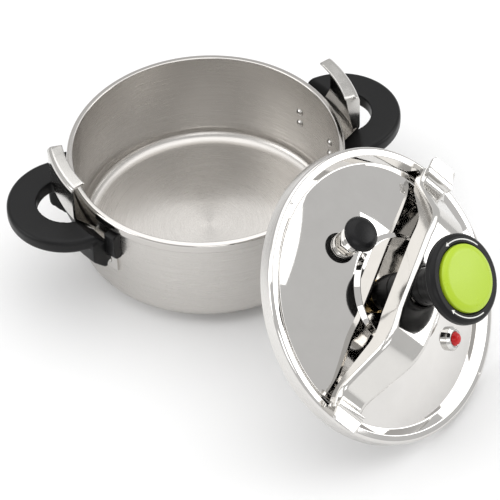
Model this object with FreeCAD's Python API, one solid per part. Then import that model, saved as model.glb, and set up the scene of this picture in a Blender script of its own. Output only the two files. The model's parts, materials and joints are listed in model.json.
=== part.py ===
import FreeCAD, Part
import math
import os

# A stovetop pressure cooker with a bow clamp. Millimetres, +Z up. The origin is the middle of
# the base, on the surface it stands on. The lid is off: it stands on its lower edge in front of
# the pot, leaning back, as it is put down while the pot is filled.
V = FreeCAD.Vector
UP = V(0, 0, 1)

# ---- driving dimensions: pot -------------------------------------------------------------
POT_INNER_R = 109.5
WALL = 1.2
RIM_R = 114.7                    # outside of the turned-down rim
RIM_TOP = 97.4
RIM_LIP = 8.5                    # how far the rim is turned down
BASE_TOP = 6.5                   # underside of the pot's own bottom, on top of the sandwich base
BASE_R = 97.2
CAP_SHEET = 0.9
CORNER_R = 13.0
POT_OUTER_R = POT_INNER_R + WALL

# ---- driving dimensions: hooks and handles -------------------------------------------------
SIDE_AZ = 21.0                   # direction of the first hook and handle; the others are opposite
HOOK_SHEET = 2.0
HOOK_HALF = 12.0                 # half of the roof's angle, degrees
HOOK_CEILING = 123.7             # underside of the roof that the bow is drawn up against
HOOK_WALL_R = 128.0
HOOK_LIP_R = 118.4                # middle of the roof's rolled inner edge; the lid passes inside it
FOOT_LOW = 42.0
FOOT_HIGH = 72.0
FOOT_END = 26.0                  # the foot runs on past the roof's open end, degrees from the middle
RIVET_ANGLES = (-3.0, 21.0)
RIVET_HEIGHTS = (50.0, 62.5)
RIVET_POCKET_R = 4.8
RING_CENTRE_R = 122.5
RING_R = 50.0
RING_HOLE_R = 25.5
RING_CHORD_R = 125.3
RING_TOP = 88.4
RING_THICK = 12.6
GRIP_FOOT_ANGLE = 17.5

# ---- driving dimensions: lid, in its own frame (z = 0 is the top of its flange) -------------
LID_R = 116.7
LID_SHEET = 1.2
SKIRT = 12.2
DOME_R = 215.0
PLATEAU = 17.8
BALL_R = 5.0
BALL_H = 24.2
SOCKET_PLAY = 0.06
SEAL_LOW = 5.2                   # how far the gasket reaches below the flange's top
BOW_LIFT = 8.0                   # two turns of a 4 mm pitch screw
BOW_ANGLE = 18.5                 # the bow's direction in the lid's own frame
WEB_H = 51.0
BOW_SHEET = 2.0
SPINDLE_R = 5.9

# ---- driving dimensions: where the lid stands ----------------------------------------------
LEAN_AZ = -35.7                  # the way the lid's top faces
LEAN_UP = 38.6                   # how far above level it faces
LID_X = 133.4
LID_Y = -179.0
LID_Z = LID_R * math.cos(math.radians(LEAN_UP)) + SKIRT * math.sin(math.radians(LEAN_UP))


# ---- outlines --------------------------------------------------------------------------------
def rounded(points, radii, flat=lambda x, z: V(x, 0, z)):
    """Edges along open straight runs with each inner corner rounded to its radius."""
    pts = [V(x, 0, z) for x, z in points]
    edges, last = [], pts[0]
    for before, corner, after, radius in zip(pts, pts[1:], pts[2:], radii):
        a, b = (before - corner).normalize(), (after - corner).normalize()
        half = a.getAngle(b) / 2
        if radius <= 0 or half > math.pi / 2 - 1e-6:
            edges.append((last, corner))
            last = corner
            continue
        reach = radius / math.tan(half)
        start, end = corner + a * reach, corner + b * reach
        middle = corner + (a + b).normalize() * (radius / math.sin(half) - radius)
        if start.distanceToPoint(last) > 1e-6:
            edges.append((last, start))
        edges.append((start, middle, end))
        last = end
    edges.append((last, pts[-1]))
    made = []
    for run in edges:
        run = [flat(p.x, p.z) for p in run]
        if len(run) == 3:
            made.append(Part.Arc(*run).toShape())
        elif run[0].distanceToPoint(run[1]) > 1e-6:
            made.append(Part.makeLine(*run))
    return made


def beside(points, radii, gap):
    """The same open outline moved sideways by gap, to the right of its direction."""
    pts = [V(x, 0, z) for x, z in points]
    right = [V(b.z - a.z, 0, a.x - b.x).normalize() for a, b in zip(pts, pts[1:])]
    moved = [pts[0] + right[0] * gap]
    new_radii = []
    for i in range(1, len(pts) - 1):
        n, m = right[i - 1], right[i]
        moved.append(pts[i] + (n + m) * (gap / (1 + n.dot(m))))
        along = V(-n.z, 0, n.x)
        turns_right = along.dot(m) < 0
        radius = radii[i - 1]
        new_radii.append(max(radius - gap if turns_right else radius + gap, 0) if radius else 0)
    moved.append(pts[-1] + right[-1] * gap)
    return [(p.x, p.z) for p in moved], new_radii


def face_of(edges):
    return Part.Face(Part.Wire(Part.__sortEdges__(edges)))


def closed_face(points, radii=None):
    """A face with straight sides in the XZ plane; every corner but the first may be rounded."""
    radii = radii or [0] * (len(points) - 1)
    return face_of(rounded(list(points) + [points[0]], radii))


def sheet_face(points, radii, gap):
    """A strip of sheet metal: the outline on one side, the outline moved by gap on the other."""
    other, other_radii = beside(points, radii, gap)
    a = V(points[0][0], 0, points[0][1])
    b = V(other[0][0], 0, other[0][1])
    c = V(points[-1][0], 0, points[-1][1])
    d = V(other[-1][0], 0, other[-1][1])
    ends = [Part.makeLine(a, b), Part.makeLine(c, d)]
    return face_of(rounded(points, radii) + rounded(other, other_radii) + ends)


def spun(face, degrees=360.0, start=0.0):
    shape = face.revolve(V(0, 0, 0), UP, degrees)
    if start:
        shape.rotate(V(0, 0, 0), UP, start)
    return solid(shape)


def solid(shape):
    if shape.ShapeType == "Solid":
        return shape
    return shape.Solids[0] if len(shape.Solids) == 1 else shape


def turned(points, radii=None):
    return spun(closed_face(points, radii))


def disc(radius, low, high):
    return Part.makeCylinder(radius, high - low, V(0, 0, low))


def tube(outer, inner, low, high):
    return disc(outer, low, high).cut(disc(inner, low - 1, high + 1))


def hexagon(across, low, high, bore=0.0):
    radius = across / math.sqrt(3)
    corners = [V(radius * math.cos(k * math.pi / 3), radius * math.sin(k * math.pi / 3), low)
               for k in range(6)]
    shape = Part.Face(Part.makePolygon(corners + corners[:1])).extrude(V(0, 0, high - low))
    crown = turned([(0, low), (radius, low + 0.6), (radius, high - 0.6), (radius - 1.2, high), (0, high)])
    shape = shape.common(crown)
    return solid(shape.cut(disc(bore, low - 1, high + 1))) if bore else solid(shape)


def about_z(shape, degrees):
    moved = shape.copy()
    moved.rotate(V(0, 0, 0), UP, degrees)
    return moved


def radial(shape, azimuth, height):
    """A piece made along +Z goes outwards along the radius at this azimuth and height."""
    moved = shape.copy()
    moved.Placement = FreeCAD.Placement(V(0, 0, height), FreeCAD.Rotation(UP, azimuth)
                                        * FreeCAD.Rotation(V(0, 1, 0), 90))
    return moved


made = {}


def save(name, shape):
    """Write one node. A group of identical pieces is a compound of separate solids."""
    shape = shape.removeSplitter() if len(shape.Solids) == 1 else shape
    pieces = shape.Solids
    assert pieces and all(p.isValid() and p.Volume > 0 for p in pieces), name
    out = pieces[0] if len(pieces) == 1 else Part.makeCompound(pieces)
    out.exportStep("parts/" + name + ".step")
    made[name] = out
    print("%-18s %2d solid(s) %9.2f cm3" % (name, len(pieces), out.Volume / 1000))


# ---- pot -------------------------------------------------------------------------------------
def pot_profile():
    return [(0, BASE_TOP + WALL), (POT_INNER_R, BASE_TOP + WALL), (POT_INNER_R, RIM_TOP),
            (RIM_R, RIM_TOP), (RIM_R, RIM_TOP - RIM_LIP)]


def hook_profile():
    return [(POT_OUTER_R, FOOT_LOW), (POT_OUTER_R, FOOT_HIGH), (HOOK_WALL_R, 91.0),
            (HOOK_WALL_R, HOOK_CEILING), (HOOK_LIP_R, HOOK_CEILING)]


def make_hook():
    """A pressed hook: foot on the wall, belly, upright, roof; a wall closes the end that stops the bow."""
    radii = [6.0, 8.0, 2.5]
    wide, wide_radii = beside(hook_profile(), radii, 0)
    section = sheet_face(wide, wide_radii, HOOK_SHEET)
    span = 2 * HOOK_HALF
    body = spun(section, span, -HOOK_HALF)
    foot = closed_face([(POT_OUTER_R, FOOT_LOW), (POT_OUTER_R + HOOK_SHEET, FOOT_LOW),
                        (POT_OUTER_R + HOOK_SHEET, FOOT_HIGH - 2), (POT_OUTER_R, FOOT_HIGH - 2)])
    body = body.fuse(spun(foot, FOOT_END, 0))
    stop = closed_face([(HOOK_LIP_R + 0.2, HOOK_CEILING + 0.5), (HOOK_WALL_R + 0.5, HOOK_CEILING + 0.5),
                        (HOOK_WALL_R + 0.5, 92.0), (HOOK_WALL_R - 4.0, 90.0), (HOOK_LIP_R + 1.5, 115.0)])
    body = body.fuse(spun(stop, 0.9, -HOOK_HALF))
    lip = Part.makeTorus(HOOK_LIP_R, 1.0, V(0, 0, HOOK_CEILING + 1.0), UP, 0, 360, span)
    lip.rotate(V(0, 0, 0), UP, -HOOK_HALF)
    return solid(body.fuse(lip).removeSplitter())


def grip_keepout():
    """Everything inside the hooks' outside face, with clearance: the handles stay out of it."""
    outer = POT_OUTER_R + HOOK_SHEET + 0.1
    return turned([(0, 30), (outer, 30), (outer, FOOT_HIGH - 1), (HOOK_WALL_R + HOOK_SHEET + 0.4, 90.5),
                   (HOOK_WALL_R + HOOK_SHEET + 0.4, 130), (0, 130)])


def make_grip():
    """A round bakelite ring, flat on the pot's side, with a foot each side that reaches down."""
    low = RING_TOP - RING_THICK
    centre = V(RING_CENTRE_R, 0, 0)
    ring = turned([(0, low), (RING_R, low), (RING_R, RING_TOP), (0, RING_TOP)], [3.0, 3.5, 0])
    ring.translate(centre)
    for side in (-1, 1):
        section = closed_face([(100, 48), (120, 48), (132, 62), (132, low + 6), (100, low + 6)],
                              [4.0, 5.0, 0, 0])
        foot = spun(section, 11.5, -5.75)
        ring = ring.fuse(about_z(foot, side * GRIP_FOOT_ANGLE))
    hole = turned([(0, low - 30), (RING_HOLE_R, low - 30), (RING_HOLE_R, RING_TOP + 1), (0, RING_TOP + 1)])
    hole.translate(centre)
    outboard = Part.makeBox(100, 200, 200, V(RING_CHORD_R, -100, 0))
    ring = ring.cut(hole.common(outboard)).cut(grip_keepout())
    return max(solid(ring.removeSplitter()).Solids, key=lambda piece: piece.Volume)


def make_end_pad(side):
    """A small bakelite block between the foot of a handle and the pot's wall."""
    inner = POT_OUTER_R + 0.02
    section = closed_face([(inner, 60), (119, 62), (120, 87), (inner, 87)], [5.0, 2.5, 0])
    start = GRIP_FOOT_ANGLE + 5.8
    pad = spun(section, 5.0, start)
    return pad if side > 0 else solid(pad.mirror(V(0, 0, 0), V(0, 1, 0)))


def make_pot():
    shell = spun(sheet_face(pot_profile(), [CORNER_R - WALL, 2.2, 2.2], WALL))
    base_cap = spun(sheet_face([(0, 0), (BASE_R, 0), (BASE_R, BASE_TOP)], [3.0], -CAP_SHEET))
    core_r = BASE_R - CAP_SHEET
    core = turned([(0, CAP_SHEET), (core_r, CAP_SHEET), (core_r, BASE_TOP), (0, BASE_TOP)], [2.1, 0, 0])
    hook = make_hook()
    grip = make_grip()
    pads = [make_end_pad(-1), make_end_pad(1)]
    hook_all = [about_z(hook, SIDE_AZ), about_z(hook, SIDE_AZ + 180)]
    rivets, studs, nuts, pockets = [], [], [], []
    rivet = disc(2.0, POT_INNER_R - 0.5, POT_OUTER_R + HOOK_SHEET + 0.5)
    for head_from, sign in ((POT_INNER_R, -1), (POT_OUTER_R + HOOK_SHEET, 1)):
        ball = Part.makeSphere(4.2, V(0, 0, head_from - sign * 1.9))
        keep = disc(4, min(head_from, head_from + sign * 3), max(head_from, head_from + sign * 3))
        rivet = rivet.fuse(ball.common(keep))
    shank_hole = disc(2.0, POT_INNER_R - 5, POT_OUTER_R + HOOK_SHEET + 5)
    holes = []
    for turn in (0, 180):
        for angle in RIVET_ANGLES:
            for height in RIVET_HEIGHTS:
                place = (SIDE_AZ + turn + angle, height)
                rivets.append(radial(rivet, *place))
                holes.append(radial(shank_hole, *place))
                pockets.append(radial(disc(RIVET_POCKET_R, 100, 117.5), *place))
    grips = [about_z(grip.cut(hook), SIDE_AZ + turn).cut(Part.makeCompound(pockets)) for turn in (0, 180)]
    for turn in (0, 180):
        for side in (-1, 1):
            place = (SIDE_AZ + turn + side * GRIP_FOOT_ANGLE, 57.0)
            root = POT_OUTER_R + (HOOK_SHEET if side > 0 else 0) - 0.5
            studs.append(radial(disc(2.5, root, 121), *place))
            nut = disc(4.0, 117.5, 123).cut(disc(2.5, 100, 121))
            nuts.append(radial(nut, *place))
            bore = disc(2.6, 100, 118).fuse(disc(4.1, 117.4, 123.1))
            index = 0 if turn == 0 else 1
            grips[index] = grips[index].cut(radial(bore, *place))
    shell = shell.cut(Part.makeCompound(holes))
    hook_all = [solid(h.cut(Part.makeCompound(holes))) for h in hook_all]
    fixed = Part.makeCompound([shell] + hook_all)
    save("pot_shell", shell)
    save("base_core", core)
    save("base_cap", base_cap)
    save("hook_right", hook_all[0])
    save("hook_left", hook_all[1])
    save("hook_rivets", Part.makeCompound([solid(r.cut(fixed)) for r in rivets]))
    save("handle_right", solid(grips[0]))
    save("handle_left", solid(grips[1]))
    pads = [solid(p.cut(hook).cut(grip)) for p in pads]
    save("handle_end_pads", Part.makeCompound([about_z(p, SIDE_AZ + turn) for turn in (0, 180) for p in pads]))
    save("handle_studs", Part.makeCompound([solid(s.cut(fixed)) for s in studs]))
    save("handle_nuts", Part.makeCompound(nuts))


# ---- lid -------------------------------------------------------------------------------------
def lid_profile():
    """The lid's upper face, from its middle outwards: plateau, dome, channel, flange, skirt."""
    return [(0, PLATEAU), (42.5, PLATEAU), (46.0, 14.75), (76.3, 8.71), (104.3, -5.1),
            (109.8, 0.0), (LID_R, 0.0), (LID_R, -SKIRT)]


LID_RADII = [1.5, 1.2, DOME_R, 1.5, 1.5, 2.8]
DOME_CENTRE = -215.7
DOME_FIT_R = 235.0               # the dome's radius as its two tangents give it


def lid_placement():
    az, up = math.radians(LEAN_AZ), math.radians(LEAN_UP)
    face = V(math.cos(up) * math.cos(az), math.cos(up) * math.sin(az), math.sin(up))
    level = UP.cross(face).normalize()
    rise = face.cross(level)
    matrix = FreeCAD.Matrix(level.x, rise.x, face.x, LID_X,
                            level.y, rise.y, face.y, LID_Y,
                            level.z, rise.z, face.z, LID_Z, 0, 0, 0, 1)
    return FreeCAD.Placement(matrix)


def on_dome(radius, azimuth):
    """A frame on the dome, +Z along its outward normal."""
    lean = math.degrees(math.asin(radius / DOME_FIT_R))
    height = DOME_CENTRE + math.sqrt(DOME_FIT_R ** 2 - radius ** 2)
    turn = FreeCAD.Rotation(UP, azimuth) * FreeCAD.Rotation(V(0, 1, 0), lean)
    az = math.radians(azimuth)
    return FreeCAD.Placement(V(radius * math.cos(az), radius * math.sin(az), height), turn)


VALVE_AT = (58.8, 99.5)
INDICATOR_AT = (66.0, -72.0)
PIP_R = 113.0
PIP_SIZE = 1.7
PIP_ANGLES = (103.0, -73.0)


def placed(shape, placement):
    moved = shape.copy()
    moved.Placement = placement.multiply(moved.Placement)
    return moved


def make_lid():
    shell = spun(sheet_face(lid_profile(), LID_RADII, LID_SHEET))
    for angle in PIP_ANGLES:
        az = math.radians(angle)
        spot = V(PIP_R * math.cos(az), PIP_R * math.sin(az), -0.5)
        shell = shell.fuse(Part.makeSphere(PIP_SIZE, spot, UP, 0, 90, 360))
    valve, indicator = on_dome(*VALVE_AT), on_dome(*INDICATOR_AT)
    shell = shell.cut(placed(disc(4.0, -8, 8), valve)).cut(placed(disc(4.0, -8, 8), indicator))
    shell = solid(shell.removeSplitter())
    lid = {"lid_shell": shell}

    socket = Part.makeSphere(BALL_R + SOCKET_PLAY, V(0, 0, BALL_H))
    boss = turned([(0, PLATEAU), (10, PLATEAU), (10, 23.4), (0, 23.4)], [0, 0.8, 0])
    lid["centre_boss"] = solid(boss.cut(socket))
    cover = turned([(10.02, PLATEAU), (15.2, PLATEAU), (15.2, 30), (12.5, 39.5), (6.5, 39.5), (6.5, 37),
                    (8.2, 36), (8.2, 24), (10.02, 23.4)], [1.0, 5.0, 3.0, 0, 0, 0, 0, 0])
    lid["foot_cover"] = cover

    stem = hexagon(15, 0, 4.5).fuse(disc(4.5, 4, 8.5)).fuse(disc(3.0, 8, 12)).fuse(disc(4.0, -8.3, 1))
    stem = stem.cut(disc(1.2, -20, 20)).cut(disc(2.5, -20, 2))
    washer = tube(8.3, 4.0, -3.6, -0.9)
    nut = hexagon(14, -7.6, -3.6, 4.0)
    strainer = turned([(0, -14), (7.4, -14), (7.4, -7.6), (6.4, -7.6), (6.4, -13), (0, -13)],
                      [1.5, 0, 0, 0.8, 0])
    for k in range(6):
        slot = Part.makeBox(4, 1.4, 3.4, V(5, -0.7, -12))
        strainer = strainer.cut(about_z(slot, 60 * k))
    lid["valve_stem"] = placed(stem, valve)
    lid["valve_seal"] = placed(washer, valve)
    lid["valve_nut"] = placed(nut, valve)
    lid["valve_strainer"] = placed(solid(strainer), valve)

    bezel = turned([(0, 0), (9.7, 0), (9.7, 2.6), (7.8, 5.2), (5.95, 5.2), (5.95, 1.4), (0, 1.4)],
                   [0, 0.8, 0.8, 0.5, 0, 0])
    bezel = bezel.fuse(disc(4.0, -7.8, 0.6)).cut(disc(2.1, -20, 20))
    lid["indicator_bezel"] = placed(solid(bezel.removeSplitter()), indicator)
    lid["indicator_seal"] = placed(tube(8.3, 4.0, -3.6, -0.9), indicator)
    lid["indicator_nut"] = placed(hexagon(14, -7.4, -3.6, 4.0), indicator)
    for name, shape in lid.items():
        if name in ("valve_stem", "valve_seal", "indicator_bezel", "indicator_seal"):
            shape = solid(shape.cut(shell))
            shape = max(shape.Solids, key=lambda piece: piece.Volume)
        save(name, placed(shape, lid_placement()))

    needle = disc(1.1, 3.0, 12.6).fuse(disc(2.2, 12.3, 15.05))
    save("valve_needle", placed(placed(solid(needle.removeSplitter()), valve), lid_placement()))
    sleeve = turned([(5.0, 4.9), (10.6, 4.9), (10.6, 7.4), (9.8, 8.0), (9.8, 8.6), (10.6, 9.2), (10.6, 11.6),
                     (9.8, 12.2), (9.8, 12.8), (10.6, 13.4), (10.6, 15.4), (2.28, 15.4), (2.28, 12.3),
                     (5.0, 12.3)])
    save("weight_sleeve", placed(placed(sleeve, valve), lid_placement()))
    cap = turned([(0, 15.4), (10.8, 15.4), (14.2, 17.0), (14.2, 18.6), (11.5, 22.6), (0, 24.6)],
                 [0.8, 1.0, 3.0, 9.0, 0])
    save("weight_cap", placed(placed(cap, valve), lid_placement()))

    pin = turned([(0, -12.9), (2.0, -12.9), (2.0, 2.0), (5.6, 2.0), (5.6, 5.0), (3.9, 8.4), (0, 9.2)],
                 [0.4, 0, 0.3, 1.5, 4.0, 0])
    save("indicator_pin", placed(placed(pin, indicator), lid_placement()))
    clip = tube(3.2, 2.0, -12.5, -11.6)
    save("indicator_clip", placed(placed(clip, indicator), lid_placement()))


def make_seal_and_ball():
    gasket = turned([(110.9, -SEAL_LOW), (115.0, -SEAL_LOW), (115.0, -2.4), (114.2, -1.6), (111.4, -1.6),
                     (110.9, -2.2)], [0.5, 0.8, 0.4, 0.4, 0.3])
    save("lid_gasket", placed(gasket, lid_placement()))
    save("thrust_ball", placed(Part.makeSphere(BALL_R, V(0, 0, BALL_H)), lid_placement()))


# ---- bow and knob ----------------------------------------------------------------------------
TONGUE_END = 121.5
TONGUE_TOP = 12.5
RIDGE_H = 13.9
DIP_H = 10.3
WEB_EDGE_R = 4.5
TONGUE_THICK = 2.4
ARM_END = 110.5


def both_ways(points):
    """Mirror an outline that starts on the axis, to run from end to end."""
    return [(-x, z) for x, z in reversed(points[1:])] + points[1:]


def bow_side(top, top_radii, low, low_radii):
    upper, lower = both_ways([(0, 0)] + top), both_ways([(0, 0)] + low)
    edges = rounded(upper, top_radii[::-1] + top_radii) + rounded(lower, low_radii[::-1] + low_radii)
    ends = [Part.makeLine(V(s * top[-1][0], 0, top[-1][1]), V(s * low[-1][0], 0, low[-1][1])) for s in (-1, 1)]
    return face_of(edges + ends)


def bow_plan(points, radii):
    side = both_ways([(0, 0)] + points)
    flat = lambda x, z: V(x, z, 0)
    other = [(x, -y) for x, y in side]
    edges = rounded(side, radii[::-1] + radii, flat) + rounded(other, radii[::-1] + radii, flat)
    end = points[-1]
    ends = [Part.makeLine(V(s * end[0], -end[1], 0), V(s * end[0], end[1], 0)) for s in (-1, 1)]
    return face_of(edges + ends)


def slab(face, half):
    shape = face.copy()
    shape.translate(V(0, -half, 0))
    return solid(shape.extrude(V(0, 2 * half, 0)))


def make_bow():
    """A pressed channel: an arched web, a flange down each side, a flat tongue at each end."""
    plan = bow_plan([(34, 19), (92, 14.4), (TONGUE_END, 12.2)], [50, 40]).extrude(V(0, 0, 80))
    top, top_radii = [(58, WEB_H), (96, DIP_H), (ARM_END, DIP_H)], [34, 12]
    low, low_radii = [(54, 31), (88, 5.5), (99, 0.9), (ARM_END, 0.9)], [28, 10, 10]
    body = solid(slab(bow_side(top, top_radii, low, low_radii), 40).common(solid(plan)))
    rims = [e for e in body.Edges if is_web_rim(e)]
    body = body.makeFillet(WEB_EDGE_R, rims)
    t = BOW_SHEET
    inner_top = [(57.2, WEB_H - t), (95, DIP_H - t), (ARM_END - t, DIP_H - t)]
    inner = slab(bow_side(inner_top, [32, 12], [(54, -10), (ARM_END - t, -10)], [0]), 40)
    hollow = bow_plan([(34, 19 - t), (92, 14.4 - t), (ARM_END - t, 12.9 - t)], [50, 40])
    inner = solid(inner.common(solid(hollow.extrude(V(0, 0, 80)).translated(V(0, 0, -20)))))
    inner = inner.makeFillet(WEB_EDGE_R - t, [e for e in inner.Edges if is_web_rim(e)])
    body = body.cut(inner).cut(disc(9.0, 30, 80))
    low = TONGUE_TOP - TONGUE_THICK
    side = [(103.2, DIP_H - 1), (105.2, RIDGE_H), (109.4, RIDGE_H), (111.0, TONGUE_TOP), (TONGUE_END, TONGUE_TOP),
            (TONGUE_END, low), (ARM_END - 1, low), (ARM_END - 1, DIP_H - 1)]
    tongue = slab(closed_face(side, [1.2, 1.2, 1.0, 0, 0, 0, 0]), 40).common(solid(plan))
    corners = [e for e in tongue.Edges if abs(e.CenterOfMass.x - TONGUE_END) < 0.01 and e.BoundBox.ZLength > 1]
    tongue = tongue.makeFillet(3.0, corners)
    for turn in (0, 180):
        body = body.fuse(about_z(tongue, turn))
    return solid(body.removeSplitter())


def is_web_rim(edge):
    """True for the long edges where the web turns down into a flange."""
    middle = edge.valueAt((edge.FirstParameter + edge.LastParameter) / 2)
    along = abs(middle.x)
    floor = 30.0 if along < 54 else max(0.9, 31.0 - (along - 54) * 0.76)
    return edge.BoundBox.XLength > 3.9 and abs(middle.y) > 8 and middle.z > floor + 5


def make_bow_and_knob():
    bow = about_z(make_bow(), BOW_ANGLE)
    bush = disc(9.0, 45.5, 56).fuse(disc(13.0, 45.5, WEB_H - BOW_SHEET)).cut(disc(SPINDLE_R + 0.06, 40, 60))
    nut = hexagon(21, WEB_H, 54.5, 9.0)
    collar = tube(14.6, 12.9, WEB_H, 60.0)
    for name, shape in (("bow", bow), ("bow_bush", solid(bush.removeSplitter())), ("bush_nut", nut),
                        ("bow_collar", solid(collar))):
        save(name, placed(shape, lid_placement()))

    spindle = disc(SPINDLE_R, 29, 84).fuse(disc(7.2, 25.0, 31.0)).fuse(hexagon(17, 72, 80))
    spindle = spindle.cut(Part.makeSphere(BALL_R + SOCKET_PLAY, V(0, 0, BALL_H))).cut(disc(2.0, 74, 90))
    screw = disc(2.0, 75, 84).fuse(turned([(0, 84), (5.0, 84), (5.0, 86.4), (0, 87.2)], [0, 0.8, 0]))
    body = turned([(15.3, 60.2), (17.6, 60.2), (17.6, 69), (22, 77), (32, 80.2), (35, 81.6), (35, 87),
                   (32.6, 89.6), (27.4, 89.6), (26.8, 88.0), (0, 88.0), (0, 69.5), (15.3, 69.5)],
                  [0.8, 0, 6, 6, 2, 1.5, 2.5, 1.0, 0, 0, 0, 0])
    body = body.cut(disc(SPINDLE_R, 60, 84)).cut(hexagon(17, 72, 80)).cut(disc(5.0, 83.9, 89))
    cap = turned([(0, 88.0), (26.3, 88.0), (26.3, 91.6), (22, 93.6), (0, 94.6)], [0, 1.0, 8, 0])
    for name, shape in (("spindle", solid(spindle.removeSplitter())), ("knob_screw", solid(screw.removeSplitter())),
                        ("knob_body", solid(body)), ("knob_cap", cap)):
        save(name, placed(shape, lid_placement()))


os.makedirs("parts", exist_ok=True)
make_pot()
make_lid()
make_seal_and_ball()
make_bow_and_knob()
print(len(made), "nodes")
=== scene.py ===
import json
import math
import bmesh
import bpy
from mathutils import Matrix, Vector


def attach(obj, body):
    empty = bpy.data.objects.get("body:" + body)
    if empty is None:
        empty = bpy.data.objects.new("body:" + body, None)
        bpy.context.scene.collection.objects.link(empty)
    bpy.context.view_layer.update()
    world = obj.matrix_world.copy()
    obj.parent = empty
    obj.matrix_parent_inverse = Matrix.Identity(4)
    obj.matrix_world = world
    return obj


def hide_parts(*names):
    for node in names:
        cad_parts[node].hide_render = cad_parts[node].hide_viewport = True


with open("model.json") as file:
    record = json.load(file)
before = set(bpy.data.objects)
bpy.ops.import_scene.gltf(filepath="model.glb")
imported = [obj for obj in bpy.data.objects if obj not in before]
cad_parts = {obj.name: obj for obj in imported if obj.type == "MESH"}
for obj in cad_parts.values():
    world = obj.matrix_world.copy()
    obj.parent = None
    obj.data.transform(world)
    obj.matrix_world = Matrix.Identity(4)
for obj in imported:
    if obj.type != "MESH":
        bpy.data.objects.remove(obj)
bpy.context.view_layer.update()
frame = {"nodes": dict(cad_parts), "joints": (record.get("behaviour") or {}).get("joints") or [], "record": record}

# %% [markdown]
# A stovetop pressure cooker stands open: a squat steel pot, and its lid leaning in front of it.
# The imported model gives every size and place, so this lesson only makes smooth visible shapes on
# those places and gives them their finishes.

MM = 0.001
joints = {joint["name"]: joint for joint in frame["joints"]}

# %% [markdown]
# The lid, the bow and the knob are all round a common axis that leans. The twist joint holds that
# axis and the middle of the lid's flange, so a matrix made from it carries any shape drawn upright
# round the Z axis to its place on the lid. The weight and the red pin stand square to the domed
# sheet, so each of them has a tilted axis of its own.

# %% Where the leaning pieces sit
DOME_CENTRE = -215.7 * MM
PIN_FOOT_RADIUS = 235.0 * MM


def upright_to(origin, axis):
    up = Vector(axis).normalized()
    level = Vector((0, 0, 1)).cross(up).normalized()
    rise = up.cross(level)
    turned = Matrix((level, rise, up)).transposed().to_4x4()
    return Matrix.Translation(Vector(origin)) @ turned


on_pot = Matrix.Identity(4)
on_lid = upright_to(joints["lid_twist"]["pos_m"], joints["lid_twist"]["axis"])
lid_up = on_lid.to_3x3() @ Vector((0, 0, 1))
on_valve = upright_to(joints["weight_spin"]["pos_m"], joints["weight_spin"]["axis"])
pin_axis = Vector(joints["indicator_rise"]["axis"])
on_pin = upright_to(on_lid @ Vector((0, 0, DOME_CENTRE)) + pin_axis * PIN_FOOT_RADIUS, pin_axis)
print("lid flange middle:", [round(v, 4) for v in on_lid.translation])

# %% [markdown]
# Metal looks like metal because of what it mirrors, and because its grain stretches those
# reflections. Every finish here is one Principled shader whose roughness, colour and tiny bumps come
# from noise, so a small class with short names for the nodes keeps each finish to a few lines.

# %% A helper for node materials
class Finish:
    """A node material with one Principled shader and short ways to add nodes."""

    def __init__(self, name, colour, metallic=0.0, roughness=0.4, **constants):
        self.material = bpy.data.materials.new(name)
        self.material.use_nodes = True
        self.nodes = self.material.node_tree.nodes
        self.links = self.material.node_tree.links
        self.shader = self.nodes["Principled BSDF"]
        self.shader.inputs["Base Color"].default_value = (*colour, 1)
        self.shader.inputs["Metallic"].default_value = metallic
        self.shader.inputs["Roughness"].default_value = roughness
        for socket, value in constants.items():
            self.shader.inputs[socket.replace("_", " ")].default_value = value

    def add(self, kind, values=None, **settings):
        node = self.nodes.new(kind)
        for key, value in settings.items():
            setattr(node, key, value)
        for socket, value in (values or {}).items():
            node.inputs[socket].default_value = value
        return node

    def link(self, out, into):
        self.links.new(out, into)

    def placed(self, matrix):
        """Object coordinates seen from a leaning axis."""
        coords = self.add("ShaderNodeTexCoord")
        mapping = self.add("ShaderNodeMapping", vector_type="TEXTURE")
        mapping.inputs["Location"].default_value = matrix.translation
        mapping.inputs["Rotation"].default_value = matrix.to_euler()
        self.link(coords.outputs["Object"], mapping.inputs["Vector"])
        return mapping.outputs["Vector"]

    def math(self, operation, a, b=None):
        node = self.add("ShaderNodeMath", operation=operation)
        for index, value in enumerate((a, b)):
            if value is None:
                continue
            if isinstance(value, (int, float)):
                node.inputs[index].default_value = value
            else:
                self.link(value, node.inputs[index])
        return node.outputs[0]

    def ranged(self, value, low, high, to_low, to_high):
        """A smooth step from one pair of values to another."""
        node = self.add("ShaderNodeMapRange", interpolation_type="SMOOTHSTEP")
        self.link(value, node.inputs["Value"])
        for socket, number in zip(("From Min", "From Max", "To Min", "To Max"), (low, high, to_low, to_high)):
            node.inputs[socket].default_value = number
        return node.outputs["Result"]

    def blend(self, factor, a, b):
        """A number that goes from a to b; either of them may be a plain value or a node's output."""
        node = self.add("ShaderNodeMix", data_type="FLOAT")
        self.link(factor, node.inputs["Factor"])
        for socket, value in (("A", a), ("B", b)):
            if isinstance(value, float):
                node.inputs[socket].default_value = value
            else:
                self.link(value, node.inputs[socket])
        return node.outputs["Result"]

    def noise(self, vector, scale, detail=3.0, roughness=0.55):
        node = self.add("ShaderNodeTexNoise", {"Scale": scale, "Detail": detail, "Roughness": roughness})
        self.link(vector, node.inputs["Vector"])
        return node.outputs["Fac"]

    def bump(self, height, strength, distance=0.0002):
        node = self.add("ShaderNodeBump", {"Strength": strength, "Distance": distance})
        self.link(height, node.inputs["Height"])
        self.link(node.outputs["Normal"], self.shader.inputs["Normal"])

    def tint(self, factor, dark, light):
        node = self.add("ShaderNodeMix", data_type="RGBA")
        node.inputs["A"].default_value = (*dark, 1)
        node.inputs["B"].default_value = (*light, 1)
        self.link(factor, node.inputs["Factor"])
        self.link(node.outputs["Result"], self.shader.inputs["Base Color"])

    def rough(self, value):
        self.link(value, self.shader.inputs["Roughness"])


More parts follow.
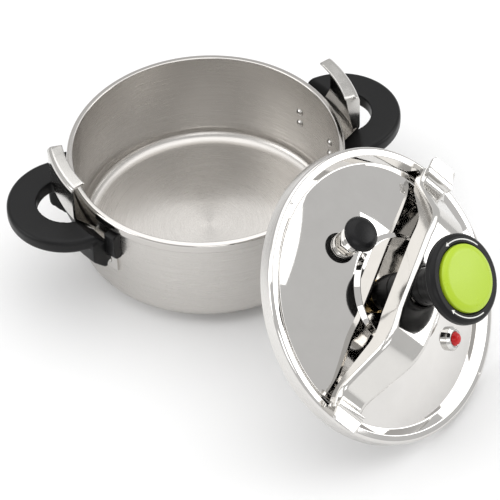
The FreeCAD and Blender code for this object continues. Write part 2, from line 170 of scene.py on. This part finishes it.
# %% [markdown]
# Turned and brushed steel has grain that runs round an axis. The noise for it is read by distance from
# the axis and by height, and it hardly changes on the way round, so every streak becomes a ring. The
# stretched highlight of such steel needs a direction too: it is the direction that runs round the axis,
# which is the Z axis crossed with the place on the piece.

# %% Grain that runs round an axis
DRIFT_ROUND = 0.0012
GRAIN_DETAIL = 4.0
GRAIN_ROUGHNESS = 0.7


def ring_places(finish, matrix):
    """Ring coordinates for noise, and with them the radius, the height and the plain coordinates."""
    vector = finish.placed(matrix)
    parts = finish.add("ShaderNodeSeparateXYZ")
    finish.link(vector, parts.inputs[0])
    x, y, z = parts.outputs
    squares = finish.math("ADD", finish.math("MULTIPLY", x, x), finish.math("MULTIPLY", y, y))
    radius = finish.math("SQRT", squares)
    angle = finish.math("ARCTAN2", y, x)
    joined = finish.add("ShaderNodeCombineXYZ")
    finish.link(radius, joined.inputs["X"])
    finish.link(z, joined.inputs["Y"])
    finish.link(finish.math("MULTIPLY", finish.math("ABSOLUTE", angle), DRIFT_ROUND), joined.inputs["Z"])
    return joined.outputs[0], radius, z, vector


def stretch_round(finish):
    """Stretch the highlights round the Z axis."""
    coords = finish.add("ShaderNodeTexCoord")
    across = finish.add("ShaderNodeVectorMath", operation="CROSS_PRODUCT")
    across.inputs[0].default_value = (0, 0, 1)
    finish.link(coords.outputs["Object"], across.inputs[1])
    finish.link(across.outputs[0], finish.shader.inputs["Tangent"])


# %% Pot steel: satin, turned round the pot's axis, with a polished rim
RIM_STARTS, RIM_SHINES = 0.0955, 0.0972
LIP_STARTS, LIP_SHINES = 0.1112, 0.1122
RIM_ROUGHNESS = 0.09


def pot_steel():
    steel = Finish("satin_pot_steel", (0.63, 0.61, 0.585), 1.0, 0.3, Anisotropic=0.65)
    rings, radius, height, vector = ring_places(steel, on_pot)
    grain = steel.noise(rings, 4200.0, GRAIN_DETAIL, GRAIN_ROUGHNESS)
    coarse = steel.noise(rings, 1500.0, GRAIN_DETAIL, GRAIN_ROUGHNESS)
    blotch = steel.noise(vector, 14.0, 2.0)
    uneven = steel.ranged(blotch, 0.3, 0.7, 0.0, 0.05)
    satin = steel.math("ADD", steel.ranged(grain, 0.3, 0.7, 0.22, 0.30), uneven)
    rim = steel.ranged(height, RIM_STARTS, RIM_SHINES, 0.0, 1.0)
    polished = steel.math("MAXIMUM", rim, steel.ranged(radius, LIP_STARTS, LIP_SHINES, 0.0, 1.0))
    steel.rough(steel.blend(polished, satin, RIM_ROUGHNESS))
    steel.tint(steel.ranged(coarse, 0.3, 0.7, 0.0, 1.0), (0.575, 0.555, 0.53), (0.63, 0.61, 0.585))
    steel.bump(steel.math("MULTIPLY", grain, steel.math("SUBTRACT", 1.0, polished)), 0.05)
    stretch_round(steel)
    return steel.material


# %% Lid steel: mirror panel, polished flange, satin skirt
SKIRT_STARTS, SKIRT_ENDS = -0.0042, -0.0022
FLANGE_EDGE_IN, FLANGE_EDGE_OUT = 0.1155, 0.1162


def lid_steel():
    steel = Finish("mirror_lid_steel", (0.70, 0.685, 0.665), 1.0, 0.05)
    rings, radius, height, vector = ring_places(steel, on_lid)
    grain = steel.noise(rings, 2200.0, GRAIN_DETAIL, GRAIN_ROUGHNESS)
    smear = steel.noise(vector, 55.0, 4.0, 0.6)
    mirror = steel.ranged(smear, 0.35, 0.8, 0.018, 0.05)
    satin = steel.ranged(grain, 0.3, 0.7, 0.22, 0.34)
    low = steel.ranged(height, SKIRT_STARTS, SKIRT_ENDS, 1.0, 0.0)
    outside = steel.ranged(radius, FLANGE_EDGE_IN, FLANGE_EDGE_OUT, 0.0, 1.0)
    steel.rough(steel.blend(steel.math("MULTIPLY", low, outside), mirror, satin))
    steel.tint(smear, (0.66, 0.645, 0.625), (0.74, 0.725, 0.705))
    steel.bump(grain, 0.012, 0.0001)
    return steel.material


# %% [markdown]
# Pressed, chromed and cast metals have no grain that the eye can follow, only a slight cloudiness
# from wear and handling. One cloud of noise moves their roughness and their colour together.

# %% Other metals
CLOUD_DARKENS = 0.9


def plain_metal(name, colour, low, high, scale=90.0, bump=0.02):
    metal = Finish(name, colour, 1.0, low)
    cloud = metal.noise(metal.placed(on_pot), scale, 5.0, 0.65)
    metal.rough(metal.ranged(cloud, 0.3, 0.75, low, high))
    metal.tint(cloud, tuple(channel * CLOUD_DARKENS for channel in colour), colour)
    metal.bump(cloud, bump)
    return metal.material


# %% [markdown]
# The handles and knob are black bakelite, which is dull and mirrors little, so its specular level is
# low. The cap, the red pin and the sealing ring are softer plastics and rubber. All of them are matt
# mouldings with a very fine texture from the mould.

# %% Moulded plastics
TEXTURE_LIGHTENS = 1.06
TEXTURE_ADDS = 0.002


def moulded(name, colour, low, high, scale, bump, **constants):
    plastic = Finish(name, colour, 0.0, low, **constants)
    vector = plastic.placed(on_pot)
    fine = plastic.noise(vector, scale, 6.0, 0.6)
    cloud = plastic.noise(vector, 35.0, 3.0)
    plastic.rough(plastic.ranged(cloud, 0.3, 0.75, low, high))
    light = tuple(min(channel * TEXTURE_LIGHTENS + TEXTURE_ADDS, 1.0) for channel in colour)
    plastic.tint(plastic.ranged(fine, 0.4, 0.8, 0.0, 1.0), colour, light)
    plastic.bump(fine, bump)
    return plastic.material


# %% All finishes, and the model's own pieces in them
finishes = {
    "satin_steel": pot_steel(),
    "mirror_steel": lid_steel(),
    "hook_steel": plain_metal("hook_steel", (0.66, 0.645, 0.62), 0.10, 0.20, 60.0, 0.03),
    "bow_steel": plain_metal("bow_steel", (0.70, 0.685, 0.66), 0.07, 0.15, 60.0, 0.02),
    "polished_steel": plain_metal("polished_steel", (0.60, 0.59, 0.57), 0.14, 0.22),
    "valve_chrome": plain_metal("valve_chrome", (0.74, 0.73, 0.71), 0.05, 0.12),
    "aluminium": plain_metal("aluminium", (0.76, 0.76, 0.77), 0.3, 0.45, 200.0, 0.1),
    "brass": plain_metal("brass", (0.72, 0.52, 0.24), 0.18, 0.32),
    "black_bakelite": moulded("black_bakelite", (0.0050, 0.0050, 0.0054), 0.32, 0.44, 900.0, 0.04,
                              Specular_IOR_Level=0.22),
    "lime_plastic": moulded("lime_plastic", (0.40, 0.56, 0.020), 0.26, 0.36, 1200.0, 0.01),
    "red_plastic": moulded("red_plastic", (0.52, 0.008, 0.010), 0.14, 0.22, 900.0, 0.01,
                           Specular_IOR_Level=0.3),
    "gasket_rubber": moulded("gasket_rubber", (0.30, 0.30, 0.29), 0.5, 0.65, 700.0, 0.15),
    "white_print": moulded("white_print", (0.75, 0.75, 0.73), 0.4, 0.5, 900.0, 0.02),
}
for entry in frame["record"]["subparts"]:
    piece = frame["nodes"][entry["node"]]
    piece.data.materials.clear()
    piece.data.materials.append(finishes[entry["material_slot"]])

# %% [markdown]
# Most pieces are round. Each starts as a few corners of its half outline. A vertex bevel rounds each
# corner, and a full spin round the axis makes the skin. Sheet metal gets its thickness afterwards,
# from a Solidify modifier that grows away from the visible side.

# %% Helper: an outline with rounded corners
TURN_STEP = math.radians(9)
WIDE_CORNER = 50
WIDE_CORNER_STEPS = 3


def draw_outline(mesh, corners, closed):
    """Corners are (x, z, radius) in millimetres; each corner is rounded to its radius."""
    points = [mesh.verts.new((x * MM, 0, z * MM)) for x, z, _ in corners]
    for first, second in zip(points, points[1:]):
        mesh.edges.new((first, second))
    if closed:
        mesh.edges.new((points[-1], points[0]))
    places = [point.co.copy() for point in points]
    count = len(points)
    for index, (point, corner) in enumerate(zip(points, corners)):
        ends = index in (0, count - 1) and not closed
        if ends or not corner[2]:
            continue
        before = (places[index - 1] - places[index]).normalized()
        after = (places[(index + 1) % count] - places[index]).normalized()
        inside = before.angle(after)
        reach = corner[2] * MM / math.tan(inside / 2)
        finer = WIDE_CORNER_STEPS if corner[2] > WIDE_CORNER else 1
        steps = max(2, math.ceil((math.pi - inside) / TURN_STEP * finer))
        bmesh.ops.bevel(mesh, geom=[point], offset=reach, offset_type="OFFSET", segments=steps, profile=0.5,
                        affect="VERTICES", material=-1, clamp_overlap=False)


# %% Helper: a spun skin
def spin_outline(corners, closed=False, steps=96, matrix=on_pot):
    mesh = bmesh.new()
    draw_outline(mesh, corners, closed)
    bmesh.ops.spin(mesh, geom=mesh.verts[:] + mesh.edges[:], cent=(0, 0, 0), axis=(0, 0, 1),
                   angle=2 * math.pi, steps=steps, use_merge=True)
    bmesh.ops.remove_doubles(mesh, verts=mesh.verts[:], dist=0.00001)
    bmesh.ops.recalc_face_normals(mesh, faces=mesh.faces[:])
    mesh.transform(matrix)
    return mesh


# %% Helper: the right side of an open skin
def face_towards(mesh, direction):
    """Turn an open skin over if its furthest face along a direction looks the other way."""
    face = max(mesh.faces, key=lambda f: f.calc_center_median().dot(direction))
    if face.normal.dot(direction) < 0:
        bmesh.ops.reverse_faces(mesh, faces=mesh.faces[:])


# %% Helper: a finished piece on its body
def finish_piece(name, mesh, body, slot, finish=None, stands_for=(), sheet=0.0, sharp=None):
    """Sheet is a thickness in millimetres; edges that bend more than sharp degrees stay crisp."""
    data = bpy.data.meshes.new(name)
    mesh.to_mesh(data)
    mesh.free()
    data.materials.append(finishes[finish or slot])
    piece = bpy.data.objects.new(name, data)
    bpy.context.collection.objects.link(piece)
    data.shade_smooth()
    if sharp is not None:
        data.set_sharp_from_angle(angle=math.radians(sharp))
    if sheet:
        wall = piece.modifiers.new("sheet", "SOLIDIFY")
        wall.thickness = sheet * MM
        wall.offset = -1
        wall.use_even_offset = True
    shading = piece.modifiers.new("even_shading", "WEIGHTED_NORMAL")
    shading.keep_sharp = True
    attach(piece, body)
    if stands_for:
        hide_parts(*stands_for)
    print(name, len(data.polygons), "faces on", body)
    return piece


# %% [markdown]
# The pot is one deep-drawn sheet: a flat floor, a wide inside corner, a straight wall and a rim that is
# rolled outwards and down. A thin steel cap covers the base. Both are drawn as one side of the sheet,
# and the sheet's thickness grows away from that side.

# %% Pot shell and base
POT_CORNERS = [(0, 7.7, 0), (109.5, 7.7, 11.8), (109.5, 97.4, 1.0), (114.7, 97.4, 2.2),
               (114.7, 88.9, 1.6), (112.3, 88.3, 0)]
BASE_CORNERS = [(0, 0, 0), (97.2, 0, 3.0), (97.2, 6.5, 0.6), (90, 6.6, 0)]
POT_SHEET = 1.2
BASE_SHEET = 0.5
mesh = spin_outline(POT_CORNERS, steps=192)
face_towards(mesh, Vector((0, 0, 1)))
finish_piece("pot_shell_skin", mesh, "pot", "satin_steel", stands_for=["pot_shell"], sheet=POT_SHEET)
mesh = spin_outline(BASE_CORNERS, steps=160)
face_towards(mesh, Vector((0, 0, -1)))
finish_piece("base_cap_skin", mesh, "pot", "satin_steel", stands_for=["base_cap"], sheet=BASE_SHEET)

# %% [markdown]
# The lid is one pressing: a nearly flat middle, a shallow dome, a channel, a flat flange and a skirt.
# The dome is drawn as one very large rounded corner. Two small pips stand on the flange; they are
# spheres sunk halfway into it, kept as a piece of their own so that the sheet stays simple.

# %% Lid shell and pips
LID_CORNERS = [(0, 17.8, 0), (42.5, 17.8, 1.5), (46.0, 14.75, 1.2), (76.3, 8.71, 215), (104.3, -5.1, 1.5),
               (109.8, 0, 1.5), (116.7, 0, 2.8), (116.7, -12.2, 0)]
LID_SHEET = 1.2
PIP_RADIUS = 1.7
PIP_PLACE = (113.0 * MM, 0, -0.5 * MM)
PIP_ANGLES = (103.0, -73.0)
mesh = spin_outline(LID_CORNERS, steps=256, matrix=on_lid)
face_towards(mesh, lid_up)
finish_piece("lid_shell_skin", mesh, "lid", "mirror_steel", stands_for=["lid_shell"], sheet=LID_SHEET)
mesh = bmesh.new()
for angle in PIP_ANGLES:
    spot = Matrix.Rotation(math.radians(angle), 4, "Z") @ Matrix.Translation(PIP_PLACE)
    bmesh.ops.create_uvsphere(mesh, u_segments=24, v_segments=12, radius=PIP_RADIUS * MM,
                              matrix=on_lid @ spot)
finish_piece("lid_pips", mesh, "lid", "mirror_steel")

# %% [markdown]
# Under the flange lies a soft ring. On the middle of the lid stands a black moulded foot, and the bow
# carries a short black collar that slides inside the knob's neck. All three are closed outlines, so
# the spin alone gives them both their sides.

# %% Ring, foot and collar
RING_CORNERS = [(110.9, -5.2, 0.5), (115.0, -5.2, 0.8), (115.0, -1.6, 0.9), (110.9, -1.6, 0.6)]
FOOT_CORNERS = [(10.1, 17.8, 0), (15.2, 17.8, 1.0), (15.2, 30, 6), (12.5, 39.5, 2.5), (6.5, 39.5, 0.8),
                (6.5, 36, 0), (10.1, 23.4, 0)]
COLLAR_CORNERS = [(12.9, 51.0, 0), (14.6, 51.0, 0.4), (14.6, 60.0, 0.8), (12.9, 60.0, 0.3)]
finish_piece("gasket_ring", spin_outline(RING_CORNERS, True, 160, on_lid), "gasket", "gasket_rubber",
             stands_for=["lid_gasket"])
finish_piece("foot_cover_skin", spin_outline(FOOT_CORNERS, True, 64, on_lid), "lid", "black_bakelite",
             stands_for=["foot_cover"])
finish_piece("bow_collar_skin", spin_outline(COLLAR_CORNERS, True, 64, on_lid), "bow", "black_bakelite",
             stands_for=["bow_collar"])

# %% [markdown]
# The bow is a pressed steel channel whose web and flanges change height all along, and whose folds are
# already round in the model. A copy of the model's own mesh is merged, so that it shades as one sheet.

# %% Bow
MERGE_REACH = 0.00002
SHARP_FOLD = 32


def merged_copy(node):
    mesh = bmesh.new()
    mesh.from_mesh(frame["nodes"][node].data)
    bmesh.ops.remove_doubles(mesh, verts=mesh.verts[:], dist=MERGE_REACH)
    return mesh


finish_piece("bow_skin", merged_copy("bow"), "bow", "mirror_steel", "bow_steel", ["bow"], sharp=SHARP_FOLD)

# %% [markdown]
# The knob is one black moulding with a slim neck and a broad head. A lime cap is let into the head
# and hides the screw. The cap's outline ends on the axis, where the spin closes it to a pole.

# %% Knob and cap
KNOB_CORNERS = [(15.3, 69.5, 0), (15.3, 60.2, 0.4), (17.6, 60.2, 0.8), (17.6, 69.5, 7), (22.5, 77, 7),
                (31.5, 79.8, 8), (35, 81.8, 2.0), (35, 87.0, 1.6), (32.8, 89.6, 3.0), (27.6, 89.6, 0.9),
                (26.9, 88.0, 0.3), (15.3, 88.0, 0)]
CAP_CORNERS = [(0, 87.8, 0), (26.3, 87.8, 0), (26.3, 91.6, 1.4), (22.4, 93.6, 9), (0, 94.6, 0)]
finish_piece("knob_moulding", spin_outline(KNOB_CORNERS, True, 160, on_lid), "knob", "black_bakelite",
             stands_for=["knob_body"], sharp=60)
finish_piece("knob_cap_skin", spin_outline(CAP_CORNERS, False, 128, on_lid), "knob", "lime_plastic",
             stands_for=["knob_cap"], sharp=50)

# %% [markdown]
# Two printed arcs with arrow heads show that the knob turns both ways. Ink has almost no thickness, so
# each arc is a flat strip, spun from one short edge, that lies a few hundredths above the moulding.

# %% Arrows on the knob
PRINT_HEIGHT = 89.64 * MM
ARC_INSIDE, ARC_OUTSIDE = 29.6, 30.5
ARC_SWEEP = 62
ARC_STEPS = 24
HEAD_INSIDE, HEAD_OUTSIDE, HEAD_TIP = 28.3, 31.8, 30.05
HEAD_LENGTH = 6


def print_spot(radius, angle):
    turned = math.radians(angle)
    return (radius * math.cos(turned) * MM, radius * math.sin(turned) * MM, PRINT_HEIGHT)


mesh = bmesh.new()
for start, forwards in ((20, True), (200, False)):
    ends = [mesh.verts.new(print_spot(radius, start)) for radius in (ARC_INSIDE, ARC_OUTSIDE)]
    first = mesh.edges.new(ends)
    bmesh.ops.spin(mesh, geom=ends + [first], cent=(0, 0, 0), axis=(0, 0, 1), angle=math.radians(ARC_SWEEP),
                   steps=ARC_STEPS)
    root = start + ARC_SWEEP if forwards else start
    tip = root + HEAD_LENGTH if forwards else root - HEAD_LENGTH
    mesh.faces.new([mesh.verts.new(print_spot(radius, angle))
                    for radius, angle in ((HEAD_INSIDE, root), (HEAD_OUTSIDE, root), (HEAD_TIP, tip))])
mesh.transform(on_lid)
bmesh.ops.recalc_face_normals(mesh, faces=mesh.faces[:])
for face in mesh.faces:
    if face.normal.dot(lid_up) < 0:
        face.normal_flip()
finish_piece("knob_arrows", mesh, "knob", "black_bakelite", "white_print")

# %% [markdown]
# The weight valve is a black mushroom cap on a ringed chrome sleeve. The pressure sign is a red pin in
# a chrome housing. Both stand square to the dome, so they use their own leaning matrices.

# %% Weight and pressure sign
SLEEVE_CORNERS = [(5.0, 4.9, 0), (10.6, 4.9, 0.5), (10.6, 7.6, 0.5), (9.7, 8.2, 0.3), (10.6, 8.8, 0.5),
                  (10.6, 11.8, 0.5), (9.7, 12.4, 0.3), (10.6, 13.0, 0.5), (10.6, 15.4, 0), (5.0, 15.4, 0)]
WEIGHT_CORNERS = [(0, 15.3, 0), (10.9, 15.3, 0.6), (14.2, 17.0, 1.0), (14.2, 18.8, 2.4), (11.3, 22.8, 8.0),
                  (0, 24.6, 0)]
BEZEL_CORNERS = [(5.95, 1.4, 0), (5.95, 5.2, 0.5), (7.8, 5.2, 0.8), (9.7, 2.8, 0.8), (9.7, -0.3, 0),
                 (5.95, -0.3, 0)]
PIN_CORNERS = [(0, 2.2, 0), (5.65, 2.2, 0.3), (5.65, 5.1, 1.8), (3.9, 8.4, 3.6), (0, 9.22, 0)]
finish_piece("weight_sleeve_skin", spin_outline(SLEEVE_CORNERS, True, 96, on_valve), "weight", "valve_chrome",
             stands_for=["weight_sleeve"], sharp=50)
finish_piece("weight_cap_skin", spin_outline(WEIGHT_CORNERS, False, 96, on_valve), "weight", "black_bakelite",
             stands_for=["weight_cap"], sharp=50)
finish_piece("indicator_bezel_skin", spin_outline(BEZEL_CORNERS, True, 96, on_pin), "lid", "valve_chrome",
             sharp=50)
finish_piece("indicator_dome", spin_outline(PIN_CORNERS, False, 64, on_pin), "indicator", "red_plastic",
             sharp=60)

# %% [markdown]
# The handles are thick moulded rings whose edges are all soft. A copy of each model piece is merged,
# remeshed into small even faces and smoothed a little, which rounds every edge as a mould does. The
# small end pads need finer faces than the rings do.

# %% Softened handles
FACE_SIZES = {"handle_right": 0.9, "handle_left": 0.9, "handle_end_pads": 0.6}
SMOOTH_SHARE = 0.5
SMOOTH_ROUNDS = 8
for node, face_size in FACE_SIZES.items():
    piece = finish_piece(node + "_moulding", merged_copy(node), "pot", "black_bakelite", stands_for=[node])
    piece.modifiers.remove(piece.modifiers["even_shading"])
    even = piece.modifiers.new("even_faces", "REMESH")
    even.mode = "VOXEL"
    even.voxel_size = face_size * MM
    even.use_smooth_shade = True
    soft = piece.modifiers.new("soft_edges", "SMOOTH")
    soft.factor = SMOOTH_SHARE
    soft.iterations = SMOOTH_ROUNDS

# %% [markdown]
# The hooks are pressed from thicker sheet, and rivets hold them to the pot. Their model meshes are
# already the right shape, so they only need their loose triangles merged and smooth shading between
# their sharp edges.

# %% Hooks and rivets
HOOK_FINISHES = {"hook_right": "hook_steel", "hook_left": "hook_steel", "hook_rivets": "polished_steel"}
for node, slot in HOOK_FINISHES.items():
    finish_piece(node + "_skin", merged_copy(node), "pot", slot, stands_for=[node], sharp=SHARP_FOLD)

# %% [markdown]
# The cooker stands on a sheet of pale paper that runs far past the picture.

# %% Floor
FLOOR_HALF = 6.0
FLOOR_DROP = 0.0004
floor_mesh = bmesh.new()
bmesh.ops.create_grid(floor_mesh, x_segments=1, y_segments=1, size=FLOOR_HALF)
floor_data = bpy.data.meshes.new("floor")
floor_mesh.to_mesh(floor_data)
floor_mesh.free()
floor_data.materials.append(Finish("floor_paper", (0.86, 0.86, 0.86), 0.0, 0.6).material)
floor = bpy.data.objects.new("floor", floor_data)
floor.location.z = -FLOOR_DROP
bpy.context.collection.objects.link(floor)
print("floor:", 2 * FLOOR_HALF, "m square")

# %% [markdown]
# Polished steel shows its surroundings, so the lamps are large panels: a very broad one overhead,
# smaller ones at each side and a weak one in front. A pale world fills in between them. A broad panel
# needs less strength than a small one, which softens the white patches on the lid's flange.

# %% Lamps and world
LAMPS = [("overhead", (0.0, 0.3, 2.2), (0, 0, 0), 3.2, 3.2, 36),
         ("left_wall", (-2.0, -0.4, 1.1), (0, 0, 0.05), 1.6, 1.2, 14),
         ("right_wall", (2.2, 0.0, 0.9), (0, 0, 0.05), 1.2, 1.0, 11),
         ("front_fill", (0.3, -2.4, 1.4), (0, 0, 0.05), 1.6, 0.8, 8)]
WORLD_GREY = 0.8
WORLD_STRENGTH = 0.85
for name, place, aim, width, height, power in LAMPS:
    lamp = bpy.data.lights.new(name, "AREA")
    lamp.shape = "RECTANGLE"
    lamp.size = width
    lamp.size_y = height
    lamp.energy = power
    holder = bpy.data.objects.new(name, lamp)
    holder.location = place
    holder.rotation_euler = (Vector(aim) - Vector(place)).to_track_quat("-Z", "Y").to_euler()
    bpy.context.collection.objects.link(holder)
world = bpy.data.worlds.new("studio")
world.use_nodes = True
world.node_tree.nodes["Background"].inputs["Color"].default_value = (WORLD_GREY, WORLD_GREY, WORLD_GREY, 1)
world.node_tree.nodes["Background"].inputs["Strength"].default_value = WORLD_STRENGTH
bpy.context.scene.world = world
print("lamps:", len(LAMPS))

# %% [markdown]
# A long lens from well above and in front gives the calm view of a catalogue. The camera's own axes
# are worked out from where it looks, with a small roll, and become the columns of its matrix.

# %% Camera
CAMERA_PLACE = Vector((0.0, -1.6748, 1.6784))
CAMERA_LOOK = Vector((0.0138, 0.7008, -0.7132)).normalized()
CAMERA_ROLL = math.radians(-2.3)
CAMERA_LENS = 201.7
CAMERA_SENSOR = 36
side = CAMERA_LOOK.cross(Vector((0, 0, 1))).normalized()
over = side.cross(CAMERA_LOOK)
right = side * math.cos(CAMERA_ROLL) + over * math.sin(CAMERA_ROLL)
above = right.cross(CAMERA_LOOK)
lens = bpy.data.cameras.new("camera")
lens.sensor_width = CAMERA_SENSOR
lens.lens = CAMERA_LENS
camera = bpy.data.objects.new("camera", lens)
turned = Matrix((right, above, -CAMERA_LOOK)).transposed().to_4x4()
camera.matrix_world = Matrix.Translation(CAMERA_PLACE) @ turned
bpy.context.collection.objects.link(camera)
bpy.context.scene.camera = camera
bpy.context.scene.view_settings.view_transform = "Standard"
print("camera:", CAMERA_LENS, "mm lens,", round(CAMERA_PLACE.length, 2), "m away")
